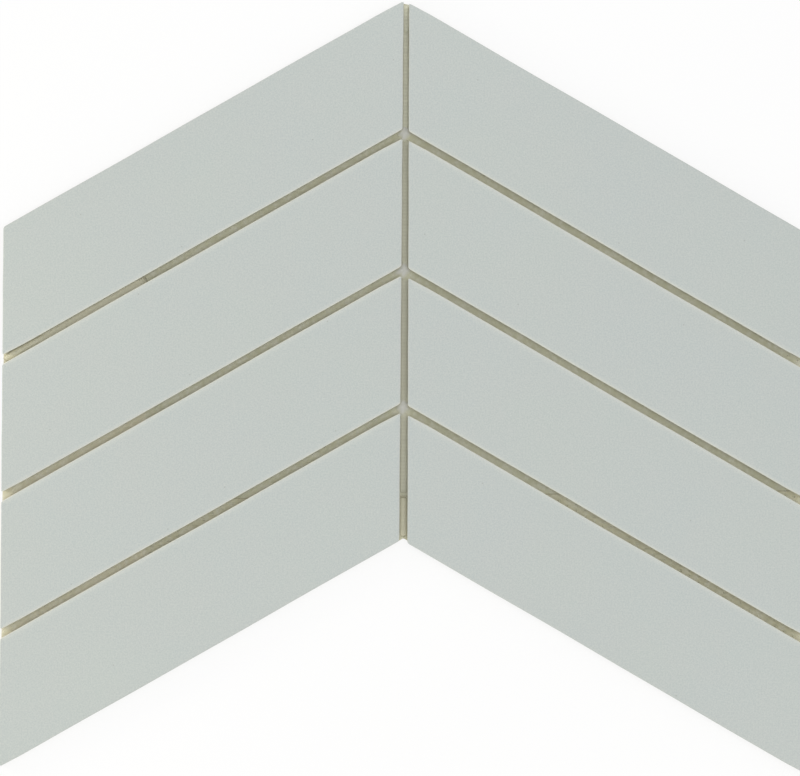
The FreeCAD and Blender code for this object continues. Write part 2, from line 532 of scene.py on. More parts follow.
@dataclass(frozen=True)
class GlazeFinish:
    """Satin grey-green glaze with a painted highlight over its edges, where it also runs thin; it stops short
    of the tile's foot, which takes painted shade.
    """

    effects: EffectLibrary
    colour: Colour = (0.472, 0.518, 0.506, 1.0)
    green_cloud: Cloud = Cloud((0.473, 0.531, 0.496, 1.0), Grain(16.0, 1.0), 0.35)
    blue_cloud: Cloud = Cloud((0.458, 0.512, 0.516, 1.0), Grain(28.0, 2.0), 0.35)
    rose_cloud: Cloud = Cloud((0.489, 0.518, 0.508, 1.0), Grain(95.0, 3.0), 0.30)
    fine_grain: Grain = Grain(1700.0, 4.0)
    grain_colour: Colour = (0.60, 0.63, 0.60, 1.0)
    grain_amount: float = 0.70
    pinhole_colour: Colour = (0.38, 0.40, 0.38, 1.0)
    pinhole_density: float = 20.0
    pinhole_radius: float = 0.42 * MM
    # Colour of the painted highlight along the cushion edges, which also stands for the glaze run thin there
    edge_colour: Colour = (0.76, 0.755, 0.67, 1.0)
    edge_grain: Grain = Grain(260.0, 6.0)
    edge_least: float = 0.75
    body_colour: Colour = (0.54, 0.51, 0.41, 1.0)
    body_cloud: Cloud = Cloud((0.48, 0.44, 0.35, 1.0), Grain(420.0, 9.0), 0.5)
    glaze_line: float = 2.7 * MM
    glaze_line_wander: float = 1.1 * MM
    glaze_line_blur: float = 0.12 * MM
    drip_grain: Grain = Grain(75.0, 7.0)
    # Painted shade low on the tile's sides, down in the joints where the light hardly reaches
    stain_colour: Colour = (0.30, 0.28, 0.21, 1.0)
    stain_low: float = 0.9 * MM
    stain_high: float = 2.2 * MM
    stain_grain: Grain = Grain(240.0, 8.0)
    stain_amounts: Point2 = (0.55, 0.95)
    roughness: Point2 = (0.56, 0.65)
    bare_roughness: float = 0.48
    refraction: float = 1.52
    ripple_scale: float = 55.0
    ripple_depth: float = 0.10 * MM
    grain_depth: float = 0.12 * MM
    glazed_grain: float = 0.06

    def build(self) -> bpy.types.Material:
        """Material of a tile.

        Returns:
            The material.
        """
        draft = Draft("satin_glaze", self.effects)
        graph = draft.graph
        grain = draft.grain(self.fine_grain)
        bare = self.bare_foot(draft)
        colour = draft.clouded(self.colour, self.green_cloud, self.blue_cloud, self.rose_cloud)
        colour = graph.mix(draft.vary(grain, 0.0, self.grain_amount), colour, self.grain_colour)
        colour = graph.mix(self.pinholes(draft), colour, self.pinhole_colour)
        # Painted highlight along the cushion edges, partly glaze run thin there
        colour = graph.mix(self.edge_break(draft), colour, self.edge_colour)
        colour = graph.mix(bare, colour, draft.clouded(self.body_colour, self.body_cloud))
        # Painted shade at the foot of the sides
        colour = graph.mix(self.stained_foot(draft), colour, self.stain_colour)
        dulled = graph.ramp(bare, 0.0, 1.0, 0.0, self.bare_roughness)
        rough = graph.math("ADD", draft.vary(grain, *self.roughness), dulled)
        return draft.finish(Base_Color=colour, Roughness=rough, IOR=self.refraction,
                            Normal=self.surface(draft, bare, grain))

    def pinholes(self, draft: Draft) -> Socket:
        """Mask of the few dark pinholes in the glaze."""
        cells = draft.graph.add("ShaderNodeTexVoronoi", {"voronoi_dimensions": "2D"}, Vector=draft.place,
                                Scale=self.pinhole_density)
        return draft.graph.ramp(cells.outputs["Distance"], self.pinhole_radius * self.pinhole_density, 0.0)

    def edge_break(self, draft: Draft) -> Socket:
        """Mask of the painted highlight along the rounded edges, where the glaze also runs thin.

        Args:
            draft: Material in the making.

        Returns:
            The mask's socket.
        """
        highlight_strength = draft.vary(draft.grain(self.edge_grain), self.edge_least, 1.0, WIDE_SPAN)
        rim_highlight = draft.graph.add("ShaderNodeAttribute", {"attribute_name": RIM}).outputs["Fac"]
        return draft.graph.math("MULTIPLY", rim_highlight, highlight_strength, clamp=True)

    def bare_foot(self, draft: Draft) -> Socket:
        """Mask of the bare fired body below the glaze's lower edge.

        Args:
            draft: Material in the making.

        Returns:
            The mask's socket.
        """
        swing = self.glaze_line_wander / 2.0
        drips = draft.grain(self.drip_grain)
        line = draft.vary(drips, self.glaze_line - swing, self.glaze_line + swing, WIDE_SPAN)
        below = draft.graph.math("SUBTRACT", line, draft.height())
        return draft.graph.ramp(below, -self.glaze_line_blur, self.glaze_line_blur)

    def stained_foot(self, draft: Draft) -> Socket:
        """Mask of the painted shade low on the sides, down in the joints, made patchy by a grain.

        Args:
            draft: Material in the making.

        Returns:
            The mask's socket.
        """
        shade_share = draft.vary(draft.grain(self.stain_grain), *self.stain_amounts)
        foot = draft.graph.ramp(draft.height(), self.stain_high, self.stain_low)
        return draft.graph.math("MULTIPLY", foot, shade_share)

    def surface(self, draft: Draft, bare: Socket, grain: bpy.types.Node) -> Socket:
        """Slow ripple of the glaze, and a coarse grain on the bare body.

        Args:
            draft: Material in the making.
            bare: Mask of the bare body.
            grain: Node of the fine grain.

        Returns:
            The bumped normal's socket.
        """
        ripple = draft.graph.add("ShaderNodeTexNoise", Vector=draft.place, Scale=self.ripple_scale,
                                 Detail=1.0)
        rippled = draft.bump(ripple.outputs["Fac"], strength=0.25, distance=self.ripple_depth)
        share = draft.graph.ramp(bare, 0.0, 1.0, self.glazed_grain, 1.0)
        coarse = draft.graph.math("MULTIPLY", grain.outputs["Value"], share)
        return draft.bump(coarse, strength=0.5, distance=self.grain_depth, Normal=rippled)


class Layer(Enum):
    """Layers of the backing. The value is the layer's own colour, that of its stains and that of its dust."""

    FILM = ((0.81, 0.785, 0.595, 1.0), (0.67, 0.64, 0.445, 1.0), (0.865, 0.85, 0.72, 1.0))
    STRIP = ((0.88, 0.84, 0.65, 1.0), (0.735, 0.695, 0.50, 1.0), (0.92, 0.895, 0.765, 1.0))
    PLY = ((0.80, 0.785, 0.605, 1.0), (0.645, 0.635, 0.45, 1.0), (0.865, 0.855, 0.75, 1.0))
    # Dark band at the ply's foot: painted shadow of the ply's edge
    HEM = ((0.56, 0.53, 0.38, 1.0), (0.49, 0.46, 0.32, 1.0), (0.60, 0.575, 0.44, 1.0))
    THREAD = ((0.82, 0.80, 0.615, 1.0), (0.675, 0.66, 0.47, 1.0), (0.865, 0.855, 0.74, 1.0))


@dataclass(frozen=True)
class BackingFinish:
    """Pale fibre stiffened with yellowed glue, in the tones of one layer."""

    effects: EffectLibrary
    layer: Layer
    stain_grain: Grain = Grain(70.0, 11.0)
    stain_amount: float = 0.7
    dust_grain: Grain = Grain(330.0, 13.0)
    dust_amount: float = 0.75
    spot_grain: Grain = Grain(460.0, 14.0)
    spot_amount: float = 0.70
    fibre_grain: Grain = Grain(1400.0, 12.0)
    fibre_amount: float = 0.45
    weave_amount: float = 0.15
    roughness: Point2 = (0.68, 0.88)
    relief: float = 0.08 * MM

    def build(self) -> bpy.types.Material:
        """Material of one layer of the backing.

        Returns:
            The material.
        """
        draft = Draft(f"fibre_{self.layer.name.lower()}", self.effects)
        own, stain, dust = self.layer.value
        fibres = draft.grain(self.fibre_grain)
        colour = draft.clouded(own, Cloud(stain, self.stain_grain, self.stain_amount),
                               Cloud(dust, self.dust_grain, self.dust_amount),
                               Cloud(stain, self.spot_grain, self.spot_amount))
        colour = draft.graph.mix(draft.vary(fibres, self.fibre_amount, 0.0), colour, stain)
        colour = draft.woven(colour, stain, self.weave_amount)
        normal = draft.bump(fibres.outputs["Value"], strength=0.6, distance=self.relief)
        return draft.finish(Base_Color=colour, Roughness=draft.vary(fibres, *self.roughness), Normal=normal)


@dataclass(frozen=True)
class GlueFinish:
    """Dried pale glue with small bubbles and a dull skin, whose thin rims let the backing's tone through."""

    effects: EffectLibrary
    name: str
    colour: Colour
    shade: Colour
    thin_colour: Colour = (0.70, 0.69, 0.545, 1.0)
    thin_height: float = 0.40 * MM
    thick_height: float = 0.90 * MM
    shade_grain: Grain = Grain(650.0, 21.0)
    shade_amount: float = 0.7
    weave_colour: Colour = (0.62, 0.605, 0.46, 1.0)
    weave_amount: float = 0.05
    bubble_grain: Grain = Grain(2600.0, 22.0)
    bubble_depth: float = 0.05 * MM
    roughness: Point2 = (0.38, 0.60)

    def build(self) -> bpy.types.Material:
        """Material of the glue.

        Returns:
            The material.
        """
        draft = Draft(self.name, self.effects)
        bubbles = draft.grain(self.bubble_grain)
        full = draft.clouded(self.colour, Cloud(self.shade, self.shade_grain, self.shade_amount))
        thick = draft.graph.ramp(draft.height(), self.thin_height, self.thick_height)
        colour = draft.graph.mix(thick, self.thin_colour, full)
        colour = draft.woven(colour, self.weave_colour, self.weave_amount)
        normal = draft.bump(bubbles.outputs["Speckle"], strength=0.3, distance=self.bubble_depth)
        return draft.finish(Base_Color=colour, Roughness=draft.vary(bubbles, *self.roughness), Normal=normal)


@dataclass(frozen=True)
class FloorFinish:
    """White floor that takes the sheet's soft shadow and turns plain white away from it."""

    colour: Colour = (0.97, 0.97, 0.97, 1.0)
    glow: float = 0.80
    fade_start: float = 0.25
    fade_end: float = 0.95

    def build(self) -> bpy.types.Material:
        """Material of the floor.

        Returns:
            The material.
        """
        graph, material = new_material("white_floor")
        matt = graph.add("ShaderNodeBsdfDiffuse", Color=self.colour)
        white = graph.add("ShaderNodeEmission", Color=WHITE, Strength=1.0)
        place = graph.add("ShaderNodeTexCoord").outputs["Object"]
        away = graph.add("ShaderNodeVectorMath", {"operation": "LENGTH"}, Vector=place).outputs["Value"]
        glow = graph.ramp(away, self.fade_start, self.fade_end, self.glow, 1.0)
        seen = graph.math("MULTIPLY", seen_directly(graph), glow)
        blend = graph.mix_shaders(seen, matt.outputs["BSDF"], white.outputs["Emission"])
        graph.add("ShaderNodeOutputMaterial", Surface=blend)
        return material


def seen_directly(graph: NodeGraph) -> Socket:
    """Value that is 1 for rays of the camera, of gloss and through glass, and 0 for other light.

    Args:
        graph: Tree of the material.

    Returns:
        The value's socket.
    """
    path = graph.add("ShaderNodeLightPath").outputs
    mirrored = graph.math("MAXIMUM", path["Is Glossy Ray"], path["Is Transmission Ray"])
    return graph.math("MAXIMUM", path["Is Camera Ray"], mirrored)


@dataclass(frozen=True)
class SheetLayout:
    """Driving sizes of the sheet in metres, the same as the solids have, and what follows from them."""

    tile_rows: int = 4
    tile_width: float = 151.15 * MM
    tile_side: float = 49.0 * MM
    tile_thickness: float = 6.5 * MM
    chevron_angle: float = math.radians(30.0)
    edge_radius: float = 0.7 * MM
    obtuse_radius: float = 1.5 * MM
    back_chamfer: float = 0.4 * MM
    slant_joint: float = 2.65 * MM
    peak_joint: float = 2.0 * MM
    notch_joint: float = 3.0 * MM
    column_step: float = 0.8 * MM
    backing_thickness: float = 0.5 * MM
    backing_inset: float = 0.2 * MM
    backing_cut: float = 1.0 * MM

    @property
    def slope(self) -> float:
        """Fall of a long edge for each metre across the sheet."""
        return math.tan(self.chevron_angle)

    @property
    def rise(self) -> float:
        """Height between the two ends of a long edge."""
        return self.tile_width * self.slope

    @property
    def joint_height(self) -> float:
        """Width of a slanted joint, measured straight up the sheet."""
        return self.slant_joint / math.cos(self.chevron_angle)

    @property
    def pitch(self) -> float:
        """Height from one row to the next."""
        return self.tile_side + self.joint_height

    @property
    def column_height(self) -> float:
        """Upright side of a whole column."""
        return self.tile_rows * self.pitch - self.joint_height

    @property
    def mean_joint(self) -> float:
        """Width of the joint between the columns, half way along it."""
        return (self.peak_joint + self.notch_joint) / 2.0

    @property
    def column_turn(self) -> float:
        """Angle by which each column leans in towards the peak."""
        return math.atan((self.notch_joint - self.peak_joint) / (2.0 * self.column_height))

    @property
    def column_x(self) -> float:
        """Distance of a column's middle from the middle of the sheet."""
        lean = self.rise / 2.0 * math.sin(self.column_turn)
        return self.tile_width / 2.0 * math.cos(self.column_turn) + self.mean_joint / 2.0 + lean

    def row_height(self, row: int) -> float:
        """Height of a row's middle above the middle of its column, with row 0 at the peak."""
        return (self.column_height - self.tile_side) / 2.0 - row * self.pitch

    def column_point(self, hand: Hand, across: float, along: float) -> Point2:
        """Place of a point that is given in a column's own directions.

        Args:
            hand: Column.
            across: Distance from the column's middle, away from the other column.
            along: Distance from the column's middle, towards the peak.

        Returns:
            The point in the sheet's frame.
        """
        x, y = turned(across, along, self.column_turn)
        return hand.value * (self.column_x + x), y - hand.value * self.column_step / 2.0

    def tile_place(self, hand: Hand, row: int) -> tuple[Vector, float]:
        """Middle of the back of a column's tile in a row, and the tile's turn about +Z."""
        x, y = self.column_point(hand, 0.0, self.row_height(row))
        return Vector((x, y, self.backing_thickness)), hand.value * self.column_turn

    def joint_point(self, hand: Hand, row: int, across: float) -> Point2:
        """Point in the middle of the joint below a row, at a distance across its column."""
        return self.column_point(hand, across, self.row_height(row) - self.pitch / 2.0 - across * self.slope)

    def junction(self, row: int) -> Point2:
        """Middle of the place below a row where four tile corners meet."""
        return 0.0, self.row_height(row) - self.pitch / 2.0 + self.rise / 2.0


class EdgePoint(NamedTuple):
    """Point of a tile's outline: its place, the way out of the tile there, and where along the edge it is."""

    x: float
    y: float
    out_x: float
    out_y: float
    edge: int
    part: float


@dataclass
class GlazedTile:
    """One pressed tile: a parallelogram with a cushion edge, soft corners and slightly wandering sides."""

    layout: SheetLayout
    hand: Hand
    row: int
    corner_steps: int = 8
    least_radius: float = 0.04 * MM
    inner_rounding: float = 0.4
    side_levels: tuple[float, ...] = (0.0, 0.3, 0.55, 0.8)
    cushion_steps: int = 10
    cushion_fullness: float = 0.75
    face_levels: tuple[float, ...] = (0.15, 0.35, 0.65, 1.0)
    edge_spacing: float = 4.0 * MM
    wander: float = 0.09 * MM
    wander_waves: Point2 = (1.3, 3.1)
    second_wave: float = 0.5
    short_side_wander: float = 0.5
    tip_drop: float = 0.30 * MM
    tip_reach: float = 12.0 * MM
    crown_drop: float = 0.07 * MM
    crown_reach: float = 3.2 * MM
    undercut: float = 0.25 * MM
    # Painted highlight on the face reaches further in along upper edges, which face the light, than along
    # lower ones
    upper_margin: float = 2.1 * MM
    lower_margin: float = 1.5 * MM
    margin_wear: float = 0.42
    worn_span: Point2 = (0.30, 0.65)
    shoulder_fade: float = 0.4
    # Upright short sides take less of the painted highlight than the slanted long sides
    short_side_wear: float = 0.45
    full_wear_slant: float = 0.45
    border_rim: float = 0.15
    border_slant: float = 0.3
    border_side: float = 0.8
    crease: float = math.radians(40.0)

    @property
    def node(self) -> str:
        """Name of the solid that this tile stands for."""
        return f"{self.hand.word}_tile_{self.row + 1}"

    def corners(self) -> list[Point2]:
        """Sharp corners of the outline.

        Returns:
            The corners, anticlockwise, starting from the acute corner at the foot.
        """
        sizes = self.layout
        outer = self.hand.value * sizes.tile_width / 2.0
        low = (sizes.tile_side + sizes.rise) / 2.0
        high = (sizes.rise - sizes.tile_side) / 2.0
        points = [(outer, -low), (-outer, high), (-outer, low), (outer, -high)]
        if self.hand is Hand.RIGHT:
            points = [points[0], points[3], points[2], points[1]]
        return points

    def edge(self, index: int) -> Vector:
        """Straight edge from one sharp corner to the next."""
        sharp = self.corners()
        return Vector(sharp[(index + 1) % len(sharp)]) - Vector(sharp[index])

    def outline(self, inset: float) -> list[EdgePoint]:
        """Outline drawn in by a distance, with as many points whatever the distance.

        Args:
            inset: How far inside the tile's own outline to draw it.

        Returns:
            The points, anticlockwise.
        """
        sharp = self.corners()
        count = len(sharp)
        edges = [self.edge(index) for index in range(count)]
        normals = [Vector((step.y, -step.x)).normalized() for step in edges]
        arcs = []
        for index in range(count):
            before, after = normals[index - 1], normals[index]
            spread = 1.0 + before.dot(after)
            acute = index % 2 == 0
            full = self.layout.edge_radius if acute else self.layout.obtuse_radius
            inner = self.inner_rounding * (inset - self.layout.edge_radius)
            radius = max(full - inset, self.least_radius, inner)
            centre = Vector(sharp[index]) - (before + after) * ((inset + radius) / spread)
            arcs.append((centre, radius, before, after))
        points: list[EdgePoint] = []
        for index, (centre, radius, before, after) in enumerate(arcs):
            sweep = before.angle_signed(after) * -1.0
            for step in range(self.corner_steps + 1):
                out = Vector(turned(before.x, before.y, sweep * step / self.corner_steps))
                spot = centre + out * radius
                side = index - 1 if step * 2 < self.corner_steps else index
                points.append(EdgePoint(spot.x, spot.y, out.x, out.y, side % count,
                                        1.0 if side != index else 0.0))
            next_centre, next_radius = arcs[(index + 1) % count][:2]
            start = centre + after * radius
            end = next_centre + after * next_radius
            pieces = max(int(round(edges[index].length / self.edge_spacing)), 2)
            for step in range(1, pieces):
                part = step / pieces
                spot = start.lerp(end, part)
                points.append(EdgePoint(spot.x, spot.y, after.x, after.y, index, part))
        return points

    def shift(self, point: EdgePoint, phases: Sequence[float]) -> float:
        """How far a point of the outline wanders out of line.

        Args:
            point: Point of the outline.
            phases: Random numbers of this tile, from 0 to 1, two for each edge.

        Returns:
            Distance outwards.
        """
        length = self.edge(point.edge).length
        is_long = length > self.layout.tile_width
        slow, quick = self.wander_waves
        other = phases[point.edge + len(phases) // 2]
        wave = math.sin(math.tau * (point.part * slow + phases[point.edge]))
        wave += self.second_wave * math.sin(math.tau * (point.part * quick + other))
        amount = self.wander if is_long else self.wander * self.short_side_wander
        result = amount * wave * math.sin(math.pi * point.part)
        if is_long:
            acute_end = point.part if point.edge % 2 == 0 else 1.0 - point.part
            near = 1.0 - smooth_step(0.0, self.tip_reach, acute_end * length)
            result -= self.tip_drop * near * near
        return result

    def rings(self) -> list[Point2]:
        """Section of the tile from the foot to the flat of the face.

        Returns:
            Inset and height of each ring of points.
        """
        sizes = self.layout
        radius = sizes.edge_radius
        shoulder = sizes.tile_thickness - radius
        rings = [(sizes.back_chamfer + self.undercut, 0.0)]
        for part in self.side_levels:
            height = sizes.back_chamfer + (shoulder - sizes.back_chamfer) * part
            rings.append((self.undercut * (1.0 - smooth_step(0.0, self.side_levels[-1], part)), height))
        for step in range(self.cushion_steps + 1):
            angle = math.pi / 2.0 * step / self.cushion_steps
            across = max(math.cos(angle), 0.0) ** self.cushion_fullness
            up = math.sin(angle) ** self.cushion_fullness
            rings.append((radius * (1.0 - across), shoulder + radius * up))
        for part in self.face_levels:
            rings.append((radius + (self.crown_reach - radius) * part, sizes.tile_thickness))
        return [(inset, height - self.crown(inset) if height >= shoulder else height)
                for inset, height in rings]

    def crown(self, inset: float) -> float:
        """How far the face has fallen away towards the edge, at a distance in from the edge."""
        return self.crown_drop * (1.0 - smooth_step(0.0, self.crown_reach, inset))

    def light_rim(self, point: EdgePoint) -> float:
        """Share of the painted highlight that an edge has.

        Args:
            point: Point of the outline.

        Returns:
            1 along the joints, and little along the sheet's border.
        """
        above = self.row == 0 and point.out_y > self.border_slant
        below = self.row == self.layout.tile_rows - 1 and point.out_y < -self.border_slant
        beside = point.out_x * self.hand.value > self.border_side
        return self.border_rim if above or below or beside else 1.0

    def rim(self, inset: float, height: float, point: EdgePoint) -> float:
        """How much painted highlight a place on the tile gets, standing partly for glaze run thin over the
        cushion.

        Args:
            inset: Distance in from the outline.
            height: Height above the tile's back.
            point: Point of the outline that the place is nearest to.

        Returns:
            A number from 0 on the flat of the face and down the sides to 1 on the cushion of a long edge.
        """
        radius = self.layout.edge_radius
        shoulder = self.layout.tile_thickness - radius
        slant = abs(point.out_y)
        start, end = self.worn_span
        rim_highlight = 1.0 - smooth_step(start * radius, end * radius, inset)
        extra = (1.0 - self.short_side_wear) * smooth_step(0.0, self.full_wear_slant, slant)
        reach = self.upper_margin if point.out_y > 0.0 else self.lower_margin
        margin = self.margin_wear * slant * max(1.0 - inset / reach, 0.0)
        on_face = smooth_step(shoulder, shoulder + self.shoulder_fade * radius, height)
        return self.light_rim(point) * on_face * max(rim_highlight * (self.short_side_wear + extra), margin)

    def build(self) -> bpy.types.Object:
        """Make the tile's mesh in its place.

        Returns:
            The tile.
        """
        dice = random.Random(self.node)
        phases = [dice.random() for _ in self.corners() + self.corners()]
        middle, turn = self.layout.tile_place(self.hand, self.row)
        base = self.outline(0.0)
        drift = [self.shift(point, phases) for point in base]
        rings = self.rings()
        vertices = []
        for inset, height in rings:
            for point, start, move in zip(self.outline(inset), base, drift):
                x, y = turned(point.x + start.out_x * move, point.y + start.out_y * move, turn)
                vertices.append((middle.x + x, middle.y + y, middle.z + height))
        vertices.append((middle.x, middle.y, middle.z + self.layout.tile_thickness))
        piece = new_object(f"{self.node}_glazed", vertices, ring_faces(len(base), len(rings)))
        # Strength of the painted highlight at each point of the mesh, kept in the rim attribute
        rim_highlight = [self.rim(inset, height, point) for inset, height in rings for point in base]
        piece.data.attributes.new(RIM, "FLOAT", "POINT").data.foreach_set("value", rim_highlight + [0.0])
        piece.data.set_sharp_from_angle(angle=self.crease)
        return piece

    def dress(self, material: bpy.types.Material) -> None:
        """Build the tile and finish it."""
        settle(self.build(), Slot.GLAZE, material, [self.node])


class Thread(NamedTuple):
    """One thread of the mesh: its line, its two ends along that line, and its number."""

    offset: float
    start: float
    end: float
    number: int


def clip(outline: Sequence[Point2], normal: Point2, limit: float) -> list[Point2]:
    """Part of an outline on one side of a line.

    Args:
        outline: Corners in order.
        normal: Direction square to the line, towards the part to keep.
        limit: Distance of the line from the origin along that direction.

    Returns:
        Corners of the kept part.
    """
    kept = []
    for index, here in enumerate(outline):
        before = outline[index - 1]
        depth = here[0] * normal[0] + here[1] * normal[1] - limit
        last = before[0] * normal[0] + before[1] * normal[1] - limit
        if (depth >= 0.0) != (last >= 0.0):
            part = last / (last - depth)
            kept.append((before[0] + (here[0] - before[0]) * part, before[1] + (here[1] - before[1]) * part))
        if depth >= 0.0:
            kept.append(here)
    return kept


def spans(outline: Sequence[Point2], axis: int, value: float) -> list[Point2]:
    """Stretches of a straight line that lie inside an outline.

    Args:
        outline: Corners in order.
        axis: 0 for a line up the sheet, 1 for a line across it.
        value: Place of the line on that axis.

    Returns:
        Start and end of each stretch along the line.
    """
    hits = []
    for index, here in enumerate(outline):
        before = outline[index - 1]
        if (here[axis] > value) != (before[axis] > value):
            part = (value - before[axis]) / (here[axis] - before[axis])
            hits.append(before[1 - axis] + (here[1 - axis] - before[1 - axis]) * part)
    hits.sort()
    return list(zip(hits[::2], hits[1::2]))


@dataclass
class WovenBacking:
    """Fibre mesh of crossing threads, sunk in a film of glue, with one more ply over most of it."""

    layout: SheetLayout
    warp_pitch: float = 3.3 * MM
    weft_pitch: float = 2.05 * MM
    pitch_offset: float = 0.01
    thread_width: float = 1.10 * MM
    thread_height: float = 0.16 * MM
    thread_middle: float = 0.29 * MM
    weave_depth: float = 0.07 * MM
    bow: Point2 = (0.05 * MM, 0.16 * MM)
    bow_length: float = 41.0 * MM
    end_setback: float = 0.95 * MM
    fray: float = 0.5 * MM
    side_inset: float = 0.06 * MM
    film_low: float = 0.19 * MM
    film_high: float = 0.37 * MM
    ply_thickness: float = 0.035 * MM
    ply_left: float = -98.3 * MM
    ply_foot: float = -42.0 * MM
    ply_tilt: float = math.radians(1.1)
    hem_width: float = 0.36 * MM
    crease: float = math.radians(30.0)

    def outline(self) -> list[Point2]:
        """Outline of the backing.

        Returns:
            The corners, anticlockwise from the point of the notch.
        """
        sizes = self.layout
        half, cut = sizes.tile_width / 2.0, sizes.backing_cut
        trim = sizes.backing_inset / math.cos(sizes.chevron_angle)
        reach = sizes.column_height / 2.0 - trim
        side = half - self.side_inset
        side_cut = (cut - self.side_inset) / math.cos(sizes.chevron_angle)
        corners = [(half - cut, -reach - (half - cut) * sizes.slope),
                   (side, -reach - side * sizes.slope + side_cut),
                   (side, reach - side * sizes.slope),
                   (cut - half, reach - (cut - half) * sizes.slope)]
        right = [sizes.column_point(Hand.RIGHT, *corner) for corner in corners]
        left = [sizes.column_point(Hand.LEFT, *corner) for corner in reversed(corners)]
        notch = (sizes.rise - sizes.column_height) / 2.0 + sizes.notch_joint / 2.0 * sizes.slope + trim
        return [(0.0, notch)] + right + left

    def ply_outline(self) -> list[Point2]:
        """Outline of the extra ply, which stops short of the left side and of the legs."""
        upper = clip(self.outline(), (-math.sin(self.ply_tilt), math.cos(self.ply_tilt)), self.ply_foot)
        return clip(upper, (1.0, 0.0), self.ply_left)

    def strip_outline(self) -> list[Point2]:
        """Outline of the paler strip along the left side, which the extra ply ends at."""
        return clip(self.outline(), (-1.0, 0.0), -self.ply_left)

    def hem_outline(self, hand: Hand) -> list[Point2]:
        """Outline of the narrow dark band along the foot of the ply, a painted shadow of the ply's edge.

        Args:
            hand: Column of tiles that the band lies under.

        Returns:
            The corners, anticlockwise.
        """
        down = (math.sin(self.ply_tilt), -math.cos(self.ply_tilt))
        band = clip(self.ply_outline(), down, -self.ply_foot - self.hem_width)
        return clip(band, (float(hand.value), 0.0), 0.0)

    def plate(self, name: str, outline: Sequence[Point2], low: float, high: float) -> bpy.types.Object:
        """Flat plate with an outline.

        Args:
            name: Name of the plate.
            outline: Corners, anticlockwise.
            low: Height of its underside.
            high: Height of its top.

        Returns:
            The plate.
        """
        count = len(outline)
        vertices = [(x, y, low) for x, y in outline] + [(x, y, high) for x, y in outline]
        faces: list[Face] = [tuple(reversed(range(count))), tuple(range(count, 2 * count))]
        for index in range(count):
            after = (index + 1) % count
            faces.append((index, after, count + after, count + index))
        piece = new_object(name, vertices, faces)
        piece.data.set_sharp_from_angle(angle=self.crease)
        return piece

    def threads(self, axis: int, pitch: float) -> list[Thread]:
        """Threads of one direction.

        Args:
            axis: 0 for threads up the sheet, 1 for threads across it.
            pitch: Distance from one thread to the next.

        Returns:
            The threads.
        """
        outline = self.outline()
        first = int(math.ceil(min(point[axis] for point in outline) / pitch))
        last = int(math.floor(max(point[axis] for point in outline) / pitch))
        result = []
        for number in range(first, last + 1):
            offset = (number + self.pitch_offset) * pitch
            result += [Thread(offset, start, end, number) for start, end in spans(outline, axis, offset)
                       if end - start > pitch]
        return result

    def weave(self, name: str, threads: Sequence[Thread], along_x: bool) -> bpy.types.Object:
        """Join like threads into one mesh that dips under and over the crossing ones.

        Args:
            name: Name of the mesh, which also seeds its small irregularities.
            threads: The threads.
            along_x: Whether they run across the sheet.

        Returns:
            The joined threads.
        """
        dice = random.Random(name)
        crossing = self.warp_pitch if along_x else self.weft_pitch
        sign = 1.0 if along_x else -1.0
        section = [(0.5, 0.0), (0.0, 0.5), (-0.5, 0.0), (0.0, -0.5)]
        vertices: list[Point3] = []
        faces: list[Face] = []
        for thread in threads:
            start = thread.start + self.end_setback + dice.random() * self.fray
            end = thread.end - self.end_setback - dice.random() * self.fray
            bow, phase = dice.uniform(*self.bow), dice.random()
            steps = max(int(round((end - start) / (crossing / 2.0))), 1)
            first = len(vertices)
            for step in range(steps + 1):
                run = start + (end - start) * step / steps
                side = thread.offset + bow * math.sin(math.tau * (run / self.bow_length + phase))
                swing = math.cos(math.pi * (run / crossing + thread.number))
                height = self.thread_middle + sign * self.weave_depth * swing
                for wide, tall in section:
                    across = side + wide * self.thread_width
                    level = height + tall * self.thread_height
                    vertices.append((run, across, level) if along_x else (across, run, level))
            faces.extend(self.skin(first, steps, len(section), along_x))
        return new_object(name, vertices, faces)

    @staticmethod
    def skin(first: int, steps: int, sides: int, flip: bool) -> list[Face]:
        """Faces of one thread, with both ends closed.

        Args:
            first: Index of the thread's first vertex.
            steps: Number of stretches.
            sides: Number of sides of the section.
            flip: Whether the section turns the other way along the thread.

        Returns:
            Corner indices of each face.
        """
        faces: list[Face] = []
        for step in range(steps):
            low = first + step * sides
            for side in range(sides):
                after = (side + 1) % sides
                faces.append((low + side, low + sides + side, low + sides + after, low + after))
        faces.append(tuple(range(first, first + sides)))
        last = first + steps * sides
        faces.append(tuple(reversed(range(last, last + sides))))
        if flip:
            faces = [tuple(reversed(face)) for face in faces]
        return faces

    def dress(self, finishes: dict[Layer, bpy.types.Material]) -> None:
        """Build the layers of the backing and finish them.

        Args:
            finishes: Finish of each layer.
        """
        ply_top = self.film_high + self.ply_thickness
        shadow_line_top = ply_top + self.ply_thickness
        film = self.plate("backing_film", self.outline(), self.film_low, self.film_high)
        settle(film, Slot.BACKING, finishes[Layer.FILM], ["backing_sheet"])
        ply = self.plate("backing_ply", self.ply_outline(), self.film_high, ply_top)
        settle(ply, Slot.BACKING, finishes[Layer.PLY])
        strip = self.plate("backing_strip", self.strip_outline(), self.film_high, ply_top)
        settle(strip, Slot.BACKING, finishes[Layer.STRIP])
        for hand in Hand:
            # Painted shadow line along the ply's foot, one band under each column
            shadow_line = self.plate(f"backing_hem_{hand.word}", self.hem_outline(hand), ply_top, shadow_line_top)
            settle(shadow_line, Slot.BACKING, finishes[Layer.HEM])
        warp = self.weave("backing_warp", self.threads(0, self.warp_pitch), False)
        settle(warp, Slot.BACKING, finishes[Layer.THREAD])
        weft = self.weave("backing_weft", self.threads(1, self.weft_pitch), True)
        settle(weft, Slot.BACKING, finishes[Layer.THREAD])


class Lobe(NamedTuple):
    """Tongue of a blob of glue: its direction and spread in degrees, and its reach beyond the blob."""

    direction: float
    spread: float
    reach: float


class Ripple(NamedTuple):
    """Ripple of a blob's rim: its number of waves, its size and its phase."""

    order: int
    size: float
    phase: float


